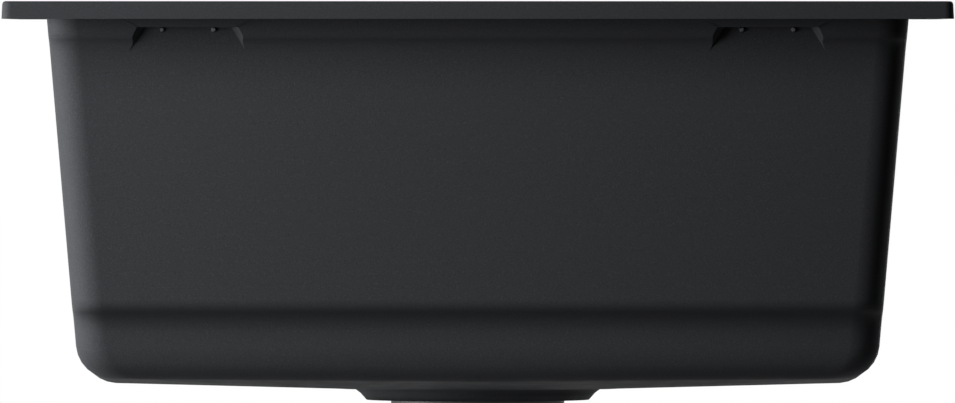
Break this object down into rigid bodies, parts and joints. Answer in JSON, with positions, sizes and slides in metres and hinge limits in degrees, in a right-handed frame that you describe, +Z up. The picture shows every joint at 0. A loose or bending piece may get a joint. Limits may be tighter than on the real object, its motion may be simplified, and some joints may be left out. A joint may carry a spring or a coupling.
{
  "type": "kitchen sink",
  "caption": "Drop-in kitchen sink: dark stone-composite bowl with stepped front and rear walls, flat rim, tap deck, clip pockets and a lift-out basket strainer with a stopper.",
  "frame": {"origin": "centre of the worktop cut-out, on the worktop's surface, which the rim's underside rests on", "axes": "+X to the right seen from the front, +Y to the rear deck with the tap hole, +Z up"},
  "size_m": [0.635, 0.559, 0.3214],
  "materials": {
    "composite": "matt, fine grain",
    "strainer_steel": "satin",
    "seal_foam": "matt",
    "black_rubber": "matt",
    "nut_zinc": "cast",
    "basket_steel": "satin",
    "post_steel": "turned"
  },
  "bodies": {
    "sink": {"sink_body": "composite", "strainer_body": "strainer_steel", "flange_seal": "seal_foam", "sealing_washer": "black_rubber", "lock_nut": "nut_zinc"},
    "basket": {"basket": "basket_steel"},
    "stopper": {"stopper_post": "post_steel", "stopper_seal": "black_rubber", "stopper_nut": "post_steel"}
  },
  "joints": [
    {"name": "basket_lift", "type": "slide", "parent": "sink", "child": "basket", "axis": [0, 0, 1], "range_m": [0, 0.32]},
    {"name": "stopper_lift", "type": "slide", "parent": "basket", "child": "stopper", "axis": [0, 0, 1], "range_m": [0, 0.007]}
  ]
}
